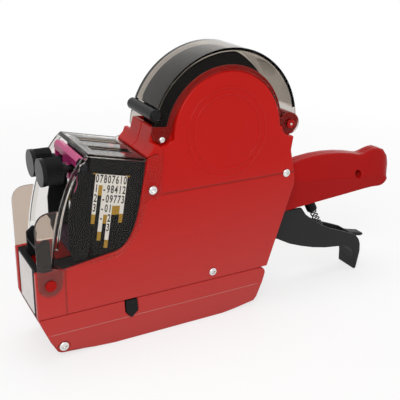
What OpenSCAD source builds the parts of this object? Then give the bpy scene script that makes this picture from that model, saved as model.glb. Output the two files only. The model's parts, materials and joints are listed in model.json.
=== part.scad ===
// Hand price labeler: two moulded side covers on a plate frame, a print head that slides down
// inside a smoked hood, a label roll chamber under a smoked lid, and a squeeze trigger.
// Front is -X, the grip is +X, the two sides are -Y (left) and +Y (right). Origin: centre of the flat base.

/* [Body] */
// Half of the width of the lower body
body_half_w = 19.5; // [18.5:0.1:21]
// Thickness of the moulded covers
wall = 2; // [1.6:0.1:2.4]
// Foremost edge of the body
front_x = -75; // [-80:0.5:-74]
// Height of the parting line between the side covers and the bottom cover
split_z = 27.3; // [27.1:0.1:27.9]
// Height of the crease where the upper faces start to lean inwards
crease_z = 86; // [80:0.5:88]
// Half of the width of the flat under the bottom cover
base_half_w = 16.5; // [15.5:0.1:17.5]
// Height of the crease on the bottom cover
keel_z = 16.6; // [15:0.1:20]

/* [Label roll] */
// Radius of the round top of the side covers
roll_r = 36.5; // [35:0.1:37.5]
// Half of the width over the round top
top_half_w = 13; // [12.8:0.1:14]
// Outer radius of the smoked lid
lid_r = 45.8; // [44:0.1:50]
// Half of the width of the lid
lid_half_w = 14.4; // [14:0.1:16]
// Thickness of the lid
lid_wall = 1.5; // [1:0.1:2]
// Radial width of the lid's side bands
lid_band = 11.8; // [10:0.1:12.5]
// Radius of the thumb bar on the lid
thumb_bar_r = 3.2; // [2.5:0.1:3.6]
// Radius of the label hub
hub_r = 12; // [8:0.5:18]

/* [Frame] */
// Half of the width over the frame plates
frame_half_w = 10.6; // [10:0.1:10.8]
// Thickness of a frame plate
frame_t = 2; // [1.5:0.1:2]

/* [Grip] */
// Half of the width of the handle
handle_half_w = 11; // [10.6:0.1:12]
// Thickness of the handle shell
handle_wall = 2; // [1.5:0.1:2.2]
// Half of the width of the trigger
trigger_half_w = 8; // [7:0.1:8.2]
// Thickness of the trigger's walls
trigger_wall = 2; // [1.5:0.1:2.5]
// Length of the trigger's front arm, from its shaft to the drive pin
drive_arm = 29; // [27:0.5:30]
// Squeeze of the trigger, in degrees
squeeze = 17; // [12:1:17]
// Outer radius of the return spring
spring_r = 2.4; // [2:0.1:3]
// Diameter of the spring's wire
spring_wire = 0.9; // [0.6:0.1:1.1]
// Number of curls in the return spring
spring_curls = 12; // [8:1:13]

/* [Print head] */
// Front face of the print head
head_front_x = -43.5; // [-44.5:0.1:-43]
// Number of type bands in one line
bands = 8; // [4:1:8]
// Distance between type bands
band_pitch = 2.1; // [2:0.05:2.2]
// Radius of a knob
knob_r = 7.2; // [5:0.1:7.4]
// Length of a knob's ribbed barrel
knob_barrel = 8.6; // [7:0.1:10]
// Height of the knobs' axes
knob_z = 103.5; // [103:0.1:104]
// Radius of the ink roller
ink_r = 4.2; // [3:0.1:5]

/* [Hood] */
// How far the smoked hood stands out of each side of the body
hood_proud = 1.7; // [1.6:0.1:3]
// Thickness of the hood and of the front guard
hood_wall = 1.5; // [1:0.1:1.5]
// Width of a slot in the hood's top
slot_w = 6; // [4:0.5:8]

/* [Clearances] */
// Radial clearance of a turning or sliding fit
run_fit = 0.05; // [0.03:0.01:0.08]
// Gap between pieces that pass each other
gap = 0.3; // [0.2:0.05:0.4]

/* [Hidden] */
$fn = 64;
far = 60;
seam = 0.1;

// Places in the side view, as [x, z]
roll = [37, 113.7];
lid_pivot = [79, 113.7];
lid_snap = [-3.1, 117.1];
lid_stud = lid_snap + [0.2, -2.8];
thumb_bar_at = roll + lid_r * [cos(162.5), sin(162.5)];
trigger_pivot = [50, 45];
drive_pin_at = trigger_pivot + drive_arm * [-cos(squeeze / 2), sin(squeeze / 2)];
head_stroke = 2 * drive_arm * sin(squeeze / 2);
tray_hinge = [62, 23.2];
guard_pivot = [-67.8, 47];
ink_pivot = [-48, 107.5];
ink_roller_at = [-49.7, 60];
feed_at = [-24, 36.8];
latch_at = [-23.2, 21.5];
tie_pin_at = [-61.6, 7.3];
body_screw_at = [[28, split_z + 5.1], [75, 86]];
hood_screw_at = [-11.2, 90];
handle_screw_at = [139.8, 72];
rod_x_at = -4;

// Outline points of the body, as [x, z]
sill_z = 54;
rear_foot = [66.4, split_z];
rear_knee = [81.6, 77.5];
rear_neck = [78.6, 99];
rear_flare = [80.4, 107.6];
throat = [[-5.2, 120.8], [-7.6, 120.8], [-9.2, 114.6], [-10.7, 110.8], [-13.4, 108]];
throat_inside = [[-13.4, 106.2], [-11.6, 106.2], [-9, 109.6], [-7.2, 114.2], [-5.2, 120]];
pad_x = -4.6;

// Radii of pins, bores and screws
shaft_r = 3;
pin_r = 2;
thin_pin_r = 1.5;
screw_r = 1.5;
screw_head_r = 2.4;
screw_head_h = 1.2;
boss_r = 2.7;
lobe_r = 6.3;
snap_lobe_r = 5.2;
lid_inner_r = lid_r - lid_band;
pocket_y = lid_half_w - lid_wall - gap;
flank_wall = pocket_y - frame_half_w - gap;
plate_y = frame_half_w - frame_t;
floor_r = roll_r + 2.5;
left_plate_r = roll_r - 1;
right_plate_r = min(lid_r - lid_wall - 1.6, roll_r + 6.2);
frame_foot_z = split_z + 2.5;
floor_t = 1.5;
body_inner_y = body_half_w - wall;
housing_top = roll[1] + roll_r;
lean = (body_half_w - top_half_w) / (housing_top - crease_z);

// Print head
head_rear_x = -10.2;
head_half_w = body_inner_y - 0.5;
head_wall = 2;
head_bottom_z = 57.5;
knob_y = 8;
band_top = [knob_y, 96];
band_nose = [4.6, 60];
band_r = 4;
band_t = 0.8;
band_w = band_pitch - gap;
band_x0 = head_front_x + head_wall + 1.1;
band_x1 = band_x0 + (bands - 1) * band_pitch;
knob_front_x = -66.7;
knob_cap = 2.1;
knob_neck = 2.5;
knob_ribs = 36;
knob_blind = 6;
pinion_r = knob_z - band_top[1] - band_r - 0.2;
pointer_x = band_x1 + 3.2;
head_slot_w = 2 * pinion_r + 0.8;
chart_t = 0.4;

// Hood
hood_half_w = body_half_w + hood_proud;
hood_inner_y = hood_half_w - hood_wall;
hood_rim_w = 2.4;
hood_rim_t = 1;
hood_top = [-45.8, 114.5];
hood_back = [-14.6, 107.6];
hood_slope = (hood_top[1] - hood_back[1]) / (hood_back[0] - hood_top[0]);
guard_swing_r = 9.6;
ink_pin_y = hood_inner_y + 0.6 * hood_wall;

// Bottom cover
tray_top = split_z - gap;
hinge_pin_y = body_inner_y - 0.5;
hinge_barrel_r = 3.4;
feed_r = 5.4;
pinch_r = 4;
paper_gap = 0.4;
pinch_at = [feed_at[0], feed_at[1] - feed_r - paper_gap - pinch_r];
pinch_half_w = 8;
bracket_t = 2;
bracket_y = pinch_half_w + 1;
bracket_half_x = 4;
latch_outline = [[-3.4, 5.5], [-3, -1.6], [0.2, -5.6], [4, -2], [3.4, 5.5]];
latch_proud = 0.5;
latch_travel = 1.6;

// Front plate
front_return = 3.5;
front_return_y = body_half_w - 3.7;
plate_front_x = front_x + 0.8;
plate_foot_z = 25;
ledge_t = 2;
label_t = 0.3;
platen_top = 46.4;
platen_t = 3.4;
peel_t = 0.8;

// Trigger spring: lower and upper seats on the spring's axis, as [x, z]
spring_low = [127, 21.6 + trigger_wall + 0.9];
spring_high = [107.6, 57.7];
rings_per_curl = 8;
wire_sides = 6;

function unit(v) = v / norm(v);

// Moves every edge of a counter-clockwise outline inwards by d
function inset(p, d) = [for (i = [0 : len(p) - 1])
  let (n = len(p), u = unit(p[i] - p[(i + n - 1) % n]), v = unit(p[(i + 1) % n] - p[i]),
    a = [-u[1], u[0]], b = [-v[1], v[0]])
  p[i] + (a + b) * d / (1 + a * b)];

// Points on a cubic curve, without the last one
function curve(a, b, c, d, n = 6) = [for (i = [0 : n - 1])
  let (t = i / n, s = 1 - t)
  s * s * s * a + 3 * s * s * t * b + 3 * s * t * t * c + t * t * t * d];

// Points on an arc around c, from angle a0 to a1
function arc(c, r, a0, a1, n = 8) = [for (i = [0 : n])
  let (a = a0 + (a1 - a0) * i / n)
  c + r * [cos(a), sin(a)]];

// Outline of a loop of radius r round two centres
function loop(a, b, r, n = 6) =
  let (t = atan2(b[1] - a[1], b[0] - a[0]))
  concat(arc(a, r, t + 90, t + 270, n), arc(b, r, t - 90, t + 90, n));

// Height of the hood's top line at x
function hood_z(x) = hood_top[1] - (x - hood_top[0]) * hood_slope;

// Top of the print head at x, clear of the hood
function head_z(x) = hood_z(x) - hood_wall - 0.9;

// Draws a side view between two places on Y
module across(y0, y1) {
  translate([0, y1, 0]) rotate([90, 0, 0]) linear_extrude(y1 - y0) children();
}

// Draws a front view, with points as [y, z], between two places on X
module along(x0, x1) {
  translate([x0, 0, 0]) rotate([90, 0, 90]) linear_extrude(x1 - x0) children();
}

// Round bar along Y at p = [x, z]
module bar_y(p, r, y0, y1) {
  translate([p[0], y1, p[1]]) rotate([90, 0, 0]) cylinder(r = r, h = y1 - y0);
}

// Round bar along X at p = [y, z]
module bar_x(p, r, x0, x1) {
  translate([x0, p[0], p[1]]) rotate([0, 90, 0]) cylinder(r = r, h = x1 - x0);
}

module disc_at(p, r) {
  translate(p) circle(r = r);
}

module mirrored() {
  mirror([0, 1, 0]) children();
}

module both_sides() {
  children();
  mirrored() children();
}

// Side covers

function window_edge() = concat(
  [[-16.9, 87]],
  curve([-17.4, 84], [-20, 68], [-25, 58], [-34, 57.8], 8),
  [[-34, 57.8], [-60, sill_z], [front_x, sill_z]]);

function rear_edge(d) = [rear_foot - [d * 1.09, 0], rear_knee - [d * 1.05, 0],
  rear_knee + [-d, 4.5], rear_neck - [d, 0]];

module side_outline() {
  polygon(concat([[front_x, split_z]], rear_edge(0), [rear_flare, lid_pivot], throat, window_edge()));
  disc_at(roll, roll_r);
  disc_at(lid_pivot, lobe_r);
}

module side_hollow() {
  polygon(concat([[front_x - 1, split_z - 1]], [rear_edge(wall)[0] - [0, 1]], rear_edge(wall),
    [lid_pivot - [2.5, 0], lid_pivot + [-2.5, far], [front_x - 1, lid_pivot[1] + far]]));
  disc_at(lid_pivot, lobe_r - wall);
}

// Front view of the left half: upright to the crease, leaning inwards above it
module half_section(half_w, x1) {
  lean_w = half_w - lean * (far + housing_top - crease_z);
  difference() {
    translate([front_x - 1, -half_w, 0]) cube([x1 - front_x + 1, half_w, housing_top + far]);
    along(pad_x, x1 + 1)
      polygon([[-half_w - 1, crease_z], [-half_w, crease_z], [-lean_w, housing_top + far],
        [-lean_w, housing_top + far + 1], [-half_w - 1, housing_top + far + 1]]);
  }
}

// Side view of what the lid sweeps, grown by d
module lid_pocket(d) {
  difference() {
    translate([front_x, roll[1] - d]) square([2 * far + 100, far]);
    disc_at(roll, lid_inner_r - 0.5 - d);
  }
  disc_at(lid_pivot, lobe_r + 0.5 + d);
  disc_at(lid_snap, snap_lobe_r + 0.5 + d);
}

module side_shell() {
  difference() {
    intersection() {
      across(-far, -seam) side_outline();
      half_section(body_half_w, far + 100);
    }
    across(-far, -pocket_y) lid_pocket(0);
    difference() {
      intersection() {
        across(-far, seam) side_hollow();
        half_section(body_inner_y, far + 100);
      }
      across(-far, -pocket_y + flank_wall) lid_pocket(wall);
      across(-far, seam) polygon(concat(throat, throat_inside));
      across(-far, -front_return_y)
        translate([front_x - 1, split_z - 2]) square([front_return + 1, sill_z - split_z + 2]);
    }
  }
}

module side_cover() {
  difference() {
    union() {
      side_shell();
      for (p = body_screw_at) bar_y(p, boss_r, -body_inner_y - 0.5, -frame_half_w - seam);
    }
    for (p = body_screw_at) bar_y(p, screw_r + run_fit, -far, 0);
    bar_y(hood_screw_at, screw_r + run_fit, -far, 0);
    bar_y(guard_pivot, shaft_r + run_fit, -far, 0);
    bar_y(lid_pivot, pin_r + run_fit, -far, 0);
    translate([rear_foot[0] - 6, -handle_half_w - gap - 0.1, split_z + 4])
      cube([far, handle_half_w + gap + 1, handle_neck[1] + 2.5 - split_z - 4]);
  }
}

module left_side_cover() {
  color("firebrick") side_cover();
}

module right_side_cover() {
  color("firebrick") mirrored() side_cover();
}

// Frame

// Side view of a frame plate with a round top of radius top_r, cut back where the thumb bar passes
module frame_outline(top_r) {
  trim_x = max(thumb_bar_at[0] + thumb_bar_r + 1.8, throat[0][0] + 0.8);
  difference() {
    union() {
      polygon([[-62, frame_foot_z], [tray_hinge[0] - 8, frame_foot_z],
        [tray_hinge[0] - 3, tray_hinge[1] - 3], [tray_hinge[0] + 1.5, tray_hinge[1] - 3],
        [tray_hinge[0] + 1.5, split_z + 1.5], [76, 72], [76, 95], [73, roll[1]], roll, [-2, roll[1] - 9],
        [rod_x_at - 4, 100], [rod_x_at - 4, platen_top - 0.4], [-59.5, platen_top - 0.4], [-61, 53],
        [-64.6, 57],
        [-64.6, 67], [-67, 68], [-70.6, 65], [-70.6, 51], [-64.2, 51], [-62, 48]]);
      difference() {
        disc_at(roll, top_r);
        translate([trim_x - far, roll[1] - 9]) square([far, 2 * far]);
        translate([lid_pivot[0] - 6, roll[1] - far]) square([far, 2 * far]);
      }
    }
    translate([lid_pivot[0] - 6, roll[1] - 9]) square([far, far]);
  }
}

module frame_plate(top_r) {
  difference() {
    across(-frame_half_w, -plate_y) frame_outline(top_r);
    bar_y(roll, shaft_r + run_fit, -far, 0);
    bar_y(trigger_pivot, shaft_r + run_fit, -far, 0);
    bar_y(feed_at, pin_r + run_fit, -far, 0);
    bar_y(tray_hinge, pin_r + run_fit, -far, 0);
    for (p = body_screw_at) bar_y(p, screw_r + run_fit, -far, 0);
  }
}

module left_frame_plate() {
  color("dimgray") frame_plate(left_plate_r);
}

module right_frame_plate() {
  color("dimgray") mirrored() frame_plate(right_plate_r);
}

rod_y_at = plate_y - 3;
rod_r = 1.8;
rod_foot_z = 33;
rod_head_z = 98;
bracket_h = 5;

module rod_bracket(z) {
  difference() {
    translate([rod_x_at - 3, -plate_y, z]) cube([6, 2 * plate_y, bracket_h]);
    both_sides()
      translate([rod_x_at, rod_y_at, z - 1]) cylinder(r = rod_r + run_fit, h = bracket_h + 2);
  }
}

module frame_spacers() {
  color("dimgray") {
    rod_bracket(rod_foot_z);
    rod_bracket(rod_head_z);
    bar_y([-57, 37], 3, -plate_y, plate_y);
    bar_y([40, split_z + 4.5], 2.4, -plate_y, plate_y);
  }
}

module guide_rods() {
  color("silver") both_sides()
    translate([rod_x_at, rod_y_at, rod_foot_z + 0.5])
      cylinder(r = rod_r, h = rod_head_z + bracket_h - rod_foot_z - 1);
}

module chamber_floor() {
  color("dimgray") across(-plate_y, plate_y)
    polygon(concat(arc(roll, floor_r, 200, 318, 24), arc(roll, floor_r - floor_t, 318, 200, 24)));
}

module label_axle() {
  color("silver") bar_y(roll, shaft_r, -frame_half_w, frame_half_w);
}

module label_hub() {
  hub_half_w = plate_y - gap;
  color("black") difference() {
    union() {
      bar_y(roll, hub_r, -hub_half_w, hub_half_w);
      bar_y(roll, hub_r + 4, -hub_half_w, -hub_half_w + 1.5);
    }
    bar_y(roll, hub_r - 2, -hub_half_w - 1, -1);
    bar_y(roll, hub_r - 2, 1, hub_half_w + 1);
    bar_y(roll, shaft_r + run_fit, -far, far);
  }
  color("black") difference() {
    bar_y(roll, shaft_r + 2.5, -hub_half_w, hub_half_w);
    bar_y(roll, shaft_r + run_fit, -far, far);
  }
}

// Lid over the label roll

lid_rear_angle = 12;
lid_front_angle = 158;

module lid_side() {
  difference() {
    disc_at(roll, lid_r);
    disc_at(roll, lid_inner_r);
    translate([roll[0] - far, roll[1] - far]) square([2 * far, far]);
    translate([lid_snap[0] - far, lid_snap[1] - far]) square([far + 20, far]);
  }
  disc_at(lid_pivot, lobe_r);
  disc_at(lid_snap, snap_lobe_r);
}

module lid_crown() {
  difference() {
    disc_at(roll, lid_r);
    disc_at(roll, lid_r - lid_wall);
    polygon(concat([roll], arc(roll, 2 * lid_r, lid_front_angle, 360 + lid_rear_angle, 12)));
  }
}

module label_cover() {
  color([0.3, 0.27, 0.25, 0.5]) difference() {
    union() {
      both_sides() across(-lid_half_w, -lid_half_w + lid_wall) lid_side();
      across(-lid_half_w, lid_half_w) lid_crown();
    }
    bar_y(lid_pivot, pin_r + run_fit, -far, far);
    bar_y(lid_stud, thin_pin_r + run_fit, -far, far);
    bar_y(thumb_bar_at, thumb_bar_r + run_fit, -far, far);
  }
}

module thumb_bar() {
  bar_half_w = lid_half_w + 1;
  color("black") {
    bar_y(thumb_bar_at, thumb_bar_r, -bar_half_w + 1, bar_half_w - 1);
    bar_y(thumb_bar_at, thumb_bar_r - 0.8, -bar_half_w, bar_half_w);
  }
}

module cover_pivots() {
  color("firebrick") both_sides() {
    bar_y(lid_pivot, pin_r, -lid_half_w - 0.1, -pocket_y + flank_wall);
    bar_y(lid_pivot, pin_r + 0.6, -lid_half_w - 1, -lid_half_w - 0.1);
  }
}

module cover_studs() {
  color("silver") both_sides() {
    bar_y(lid_stud, thin_pin_r, -lid_half_w - 0.1, -lid_half_w + lid_wall);
    bar_y(lid_stud, thin_pin_r + 0.3, -lid_half_w - 0.8, -lid_half_w - 0.1);
  }
}

// Hood over the print head

function hood_front_edge() = curve(hood_top, [-57, 106], [-64, 84], [-66.2, 60], 12);

function hood_outline() = concat(
  hood_front_edge(),
  arc(guard_pivot, guard_swing_r + 0.6, 80, 42, 5),
  [[-36, 54.8]],
  curve([-36, 54.8], [-24, 55], [-17, 68], [-14, 84.8], 8),
  [[-14, 84.2], [-9.4, 84]],
  curve([-7.4, 84.8], [-6, 87], [-5.5, 96], [-5.5, 104], 4),
  [[-5.5, 104], [-6.2, 107.2], [-8.2, 109], [-11, 108.6], hood_back]);

// Thicker rim along the hood's front edge
function hood_rim() =
  let (edge = hood_front_edge(), n = len(edge))
  concat([for (i = [1 : n - 1]) edge[i]], [for (i = [n - 1 : -1 : 1]) edge[i] + [hood_rim_w, 0]]);

module head_cover() {
  slot_x0 = -40;
  slot_x1 = -18;
  color([0.3, 0.27, 0.25, 0.5]) difference() {
    union() {
      difference() {
        across(-hood_half_w, hood_half_w) polygon(hood_outline());
        across(-hood_inner_y, hood_inner_y)
          polygon([[-far - 40, 0], [far, 0], [far, 2 * far], [hood_back[0], 2 * far],
            [hood_back[0], hood_z(hood_back[0]) - hood_wall], [hood_top[0], hood_top[1] - hood_wall],
            [-far - 40, hood_top[1] - hood_wall]]);
      }
      both_sides() across(-hood_inner_y - seam, -hood_inner_y + hood_rim_t) polygon(hood_rim());
    }
    both_sides()
      translate([slot_x0, knob_y - slot_w / 2, hood_back[1] - 6]) cube([slot_x1 - slot_x0, slot_w, 20]);
    bar_y(ink_pivot, pin_r + run_fit, -ink_pin_y - seam, ink_pin_y + seam);
    bar_y(hood_screw_at, screw_r + run_fit, -far, far);
  }
}

module cross_screw(p, y_face, y_tip) {
  bar_y(p, screw_r, -y_face, -y_tip);
  difference() {
    bar_y(p, screw_head_r, -y_face - screw_head_h, -y_face);
    for (a = [0, 90])
      translate([p[0], -y_face - screw_head_h, p[1]]) rotate([0, a + 20, 0])
        cube([2.8, 1.2, 0.6], center = true);
  }
}

module head_cover_screws() {
  color("silver") both_sides() cross_screw(hood_screw_at, hood_half_w, body_inner_y);
}

module body_screws() {
  color("silver") both_sides() {
    cross_screw(body_screw_at[0], body_half_w, plate_y + 0.2);
    cross_screw(body_screw_at[1], body_half_w, plate_y - 5);
  }
}

// Handle

handle_foot = [76, 56.2];
handle_neck = [80, 80.6];
handle_tail = [168.6, 68];
handle_end = [4.2, 2.4];
handle_hollow = [[70, 40], [152, 40], [152, 66], [148, 70.6], [130, 73.6], [104, 76], [87, 71], [70, 69]];
handle_ridge_hollow = [[92, 60], [152, 60], [150, 76], [130, 81], [110, 82.6], [96, 80], [92, 76]];
handle_seat_y = 5;
handle_tongue = [[64, 68], [81, 68], [81, handle_neck[1] - 1], [78.2, 83], [77, 90], [72, 90], [64, 80]];

// Edges of the handle in side view, from the body to the tail, with as many points each: below, on the ridge
// and along the crease where its sides start to lean inwards
handle_under = concat(
  curve(handle_foot, [105, 59], [130, 60], [160, 62.8], 12),
  curve([160, 62.8], [164, 63.2], [167, 65], handle_tail, 4));
handle_over = concat(
  curve(handle_neck, [100, 89.6], [126, 88], [144.6, 82.9], 7),
  curve([144.6, 82.9], [150, 81.6], [153, 85.4], [160, 85.2], 5),
  curve([160, 85.2], [167, 85], [171.4, 77], handle_tail, 4));
handle_crease = concat(
  curve([79, 75], [106, 73.2], [133, 71], [160, 67.6], 12),
  curve([160, 67.6], [161.6, 67], [163, 66.4], handle_tail - handle_end, 4));

// Steps from the ridge to the crease, as [share of half width, share of the way to the crease]
handle_steps = [[0.3, 0], [0.38, 0.03], [0.46, 0.1], [0.95, 0.9], [1, 1]];

// Side view of the handle at a share t of the way from the ridge to the crease
function handle_outline(t) =
  let (k = len(handle_under), tail_from = 150,
    drawn = function(q) q - t * handle_end * max(0, (q[0] - tail_from) / (handle_tail[0] - tail_from)))
  concat([for (q = handle_under) drawn(q)], [handle_tail - t * handle_end],
    [for (i = [k - 1 : -1 : 0]) (1 - t) * handle_over[i] + t * handle_crease[i]]);

// Left half of the handle: its side views, one behind the other
module handle_solid() {
  k = len(handle_under);
  n = 2 * k + 1;
  m = len(handle_steps) + 1;
  points = concat([for (q = handle_outline(0)) [q[0], -seam, q[1]]],
    [for (r = handle_steps) each [for (q = handle_outline(r[1])) [q[0], -r[0] * handle_half_w, q[1]]]]);
  sides = [for (j = [0 : m - 2], i = [0 : n - 1])
    let (a = j * n + i, b = j * n + (i + 1) % n)
    each [[a, a + n, b + n], [a, b + n, b]]];
  cap = concat([[k - 1, k, k + 1]],
    [for (i = [0 : k - 2]) each [[i, i + 1, n - 2 - i], [i, n - 2 - i, n - 1 - i]]]);
  far_cap = [for (f = cap) [for (i = [2, 1, 0]) f[i] + (m - 1) * n]];
  polyhedron(points, concat(sides, cap, far_cap), convexity = 8);
}

module handle_half() {
  difference() {
    union() {
      difference() {
        handle_solid();
        across(-handle_half_w + handle_wall + gap, 1) polygon(handle_hollow);
        across(-handle_half_w / 2 + handle_wall / 2, 1) polygon(handle_ridge_hollow);
      }
      across(-plate_y + 0.1, -seam) polygon(handle_tongue);
      intersection() {
        handle_solid();
        across(-far, -seam) disc_at(handle_screw_at, boss_r + handle_wall);
      }
    }
    bar_y(handle_screw_at, screw_r + run_fit, -far, 0);
    bar_y(handle_screw_at, screw_head_r + 0.2, -far, -handle_seat_y);
    bar_y(body_screw_at[1], screw_r + run_fit, -far, 0);
  }
}

module handle_left() {
  color("darkred") handle_half();
}

module handle_right() {
  color("darkred") mirrored() handle_half();
}

module handle_screw() {
  color("silver") cross_screw(handle_screw_at, handle_seat_y, -handle_seat_y + 1);
}

// Trigger

trigger_top = [[143.4, 28.2], [135, 31.6], [123.7, 35.9], [114.2, 40.9], [102.4, 49.6], [98.3, 55],
  [83.7, 55.8],
  [58, 51]];
trigger_floor = [[44, 41], [58, 38.5], [80.8, 37.3]];

function trigger_outline() = concat(
  trigger_floor,
  curve([91.3, 31.6], [104, 26.5], [116, 22.6], [131.5, 21.3], 4),
  curve([131.5, 21.3], [141, 20.6], [146.6, 17], [147, 9], 5),
  [[147, 9], [147.6, 1], [149.6, 1], [151.5, 13]],
  curve([151.5, 15], [151.5, 22], [148.5, 25.5], [143.4, 28.4], 4),
  trigger_top,
  [[46, 50]]);

function trigger_channel() = concat(
  [for (p = trigger_floor) p + [0, trigger_wall]],
  [for (p = curve([91.3, 31.6], [104, 26.5], [116, 22.6], [131.5, 21.3], 4)) p + [0, trigger_wall]],
  [[132, 21.3 + trigger_wall], [143, 21.3 + trigger_wall], [143, 70], [44, 70]]);

module trigger() {
  inner = trigger_half_w - trigger_wall;
  fork_inner = inner - 1;
  color([0.15, 0.15, 0.16]) difference() {
    union() {
      difference() {
        across(-trigger_half_w, trigger_half_w) polygon(trigger_outline());
        across(-inner, inner) polygon(trigger_channel());
      }
      bar_y(trigger_pivot, shaft_r + 3, -trigger_half_w, trigger_half_w);
      both_sides() across(-trigger_half_w, -fork_inner)
        polygon(loop(trigger_pivot, drive_pin_at, pin_r + 2.6));
      across(1, trigger_half_w)
        polygon([[145, 23.4], [152, 21.2], [159, 19.8], [161.4, 20.4], [160.6, 21.8], [153, 23.6],
          [146, 25.6]]);
    }
    bar_y(trigger_pivot, shaft_r + run_fit, -far, far);
    bar_y(drive_pin_at, pin_r + run_fit, -far, far);
    across(-fork_inner, fork_inner) disc_at(trigger_pivot - [14, -2], 8.2);
  }
}

module trigger_shaft() {
  color("silver") bar_y(trigger_pivot, shaft_r, -frame_half_w, frame_half_w);
}

module drive_pin() {
  color("silver") bar_y(drive_pin_at, pin_r, -trigger_half_w, trigger_half_w);
}

// Return spring: a helix on the line between its seats, with a straight end along that line

spring_axis = unit([spring_high[0] - spring_low[0], 0, spring_high[1] - spring_low[1]]);
spring_len = norm(spring_high - spring_low);
spring_side = [0, 1, 0];
spring_up = cross(spring_axis, spring_side);
coil_r = spring_r - spring_wire / 2;
coil_len = spring_len - 2 * spring_wire;
coil_rings = spring_curls * rings_per_curl;

function spring_out(i) =
  let (a = 360 * min(max(i, 0), coil_rings) / rings_per_curl)
  cos(a) * spring_side + sin(a) * spring_up;

function spring_run(i) = i < 0 ? 0 : i > coil_rings ? spring_len
  : spring_wire + coil_len * i / coil_rings;

function spring_point(i) = [spring_low[0], 0, spring_low[1]] + spring_axis * spring_run(i)
  + coil_r * spring_out(i);

function spring_ring(i) =
  let (t = unit(spring_point(min(i + 1, coil_rings + 1)) - spring_point(max(i - 1, -1))),
    b = unit(cross(t, spring_out(i))), n = cross(b, t))
  [for (k = [0 : wire_sides - 1])
    spring_point(i) + spring_wire / 2 * (cos(360 * k / wire_sides) * n + sin(360 * k / wire_sides) * b)];

function end_ring(i) =
  let (n = spring_out(i), b = cross(spring_axis, n))
  [for (k = [0 : wire_sides - 1])
    spring_point(i) + spring_wire / 2 * (cos(360 * k / wire_sides) * n + sin(360 * k / wire_sides) * b)];

module trigger_spring() {
  rings = concat([end_ring(-1)], [for (i = [0 : coil_rings]) spring_ring(i)], [end_ring(coil_rings + 1)]);
  s = wire_sides;
  m = len(rings);
  sides = [for (k = [0 : m - 2], i = [0 : s - 1])
    let (a = k * s + i, b = k * s + (i + 1) % s)
    each [[a, a + s, b + s], [a, b + s, b]]];
  low_cap = [for (i = [1 : s - 2]) [0, i, i + 1]];
  high_cap = [for (i = [1 : s - 2]) [(m - 1) * s, (m - 1) * s + i + 1, (m - 1) * s + i]];
  centres = [for (i = [-1 : coil_rings + 1]) spring_point(i)];
  near = min([for (i = [0 : m - 1], j = [0 : m - 1]) if (j - i >= rings_per_curl - 2)
    norm(centres[i] - centres[j])]) - spring_wire;
  echo(least_gap_between_curls = near);
  color([0.2, 0.2, 0.2])
    polyhedron([for (r = rings) each r], concat(sides, low_cap, high_cap), convexity = 10);
}

module spring_cup() {
  sleeve = 10.4;
  stem = 18;
  color("black") translate([spring_high[0], 0, spring_high[1]])
    rotate([0, atan2(spring_axis[0], spring_axis[2]), 0]) difference() {
      union() {
        translate([0, 0, -sleeve]) cylinder(r = spring_r + 1, h = sleeve + 2);
        cylinder(r = spring_r + 0.2, h = stem);
      }
      translate([0, 0, -sleeve - 1]) cylinder(r = spring_r + gap, h = sleeve + 1 + gap);
    }
}

// Print head

slot_half = [0.7 + pin_r + gap, pin_r + gap];

function arm_outline() = [[head_rear_x - 0.5, 66], [head_rear_x - 0.5, 80], [rod_x_at + 3, 78],
  drive_pin_at + [5, 6], drive_pin_at + [7, 0], drive_pin_at + [5, -6], drive_pin_at + [-4.5, -6],
  drive_pin_at + [-7, 0], [rod_x_at + 3, 62]];

module print_head() {
  color([0.18, 0.17, 0.18]) difference() {
    union() {
      difference() {
        across(-head_half_w, head_half_w)
          polygon([[head_front_x, head_bottom_z], [head_rear_x, head_bottom_z],
            [head_rear_x, head_z(head_rear_x)], [head_front_x, head_z(head_front_x)]]);
        across(-head_half_w + head_wall, head_half_w - head_wall)
          polygon([[head_front_x + head_wall, 0], [head_rear_x - head_wall, 0],
            [head_rear_x - head_wall, head_z(head_rear_x) - head_wall],
            [head_front_x + head_wall, head_z(head_front_x) - head_wall]]);
      }
      across(-4, 4) polygon(arm_outline());
      translate([head_rear_x - 0.5, -plate_y + 0.4, 66])
        cube([rod_x_at + 3 - head_rear_x + 0.5, 2 * plate_y - 0.8, 14]);
    }
    across(-5, 5) translate(drive_pin_at - slot_half) square(2 * slot_half);
    both_sides() {
      translate([rod_x_at, rod_y_at, 50]) cylinder(r = rod_r + run_fit, h = 40);
      bar_x([knob_y, knob_z], pin_r + run_fit, head_front_x - 1, head_front_x + head_wall + 1);
      for (p = [band_top, band_nose])
        bar_x(p, thin_pin_r - 0.3 + run_fit, head_front_x - 1, head_rear_x + 0.4);
      translate([head_front_x + head_wall, knob_y - head_slot_w / 2, knob_z])
        cube([pointer_x + 1.8 - head_front_x - head_wall, head_slot_w, 20]);
    }
  }
}

module type_bands() {
  color("whitesmoke") both_sides() for (i = [0 : bands - 1])
    along(band_x0 + i * band_pitch, band_x0 + i * band_pitch + band_w) difference() {
      polygon(loop(band_top, band_nose, band_r));
      polygon(loop(band_top, band_nose, band_r - band_t));
    }
}

module band_rollers() {
  color("gray") both_sides() for (p = [band_top, band_nose]) {
    bar_x(p, band_r - band_t - 0.2, band_x0 - 0.5, band_x1 + band_w + 0.5);
    bar_x(p, thin_pin_r - 0.3, head_front_x + 0.2, head_rear_x - 0.2);
  }
}

module column_charts() {
  color("ivory") both_sides() across(-head_half_w - chart_t, -head_half_w)
    polygon([[-40.8, 102.5], [-44, 76], [-41.5, 61], [-37.5, 60], [-31, 73], [-26.5, 77.5], [-23.6, 98.5]]);
}

// Ribbed outline of a knob's barrel
function ribbed(r, depth, n) = [for (i = [0 : 2 * n - 1])
  let (a = i * 180 / n, q = i % 2 == 0 ? r : r - depth)
  [knob_y + q * cos(a), knob_z + q * sin(a)]];

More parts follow.
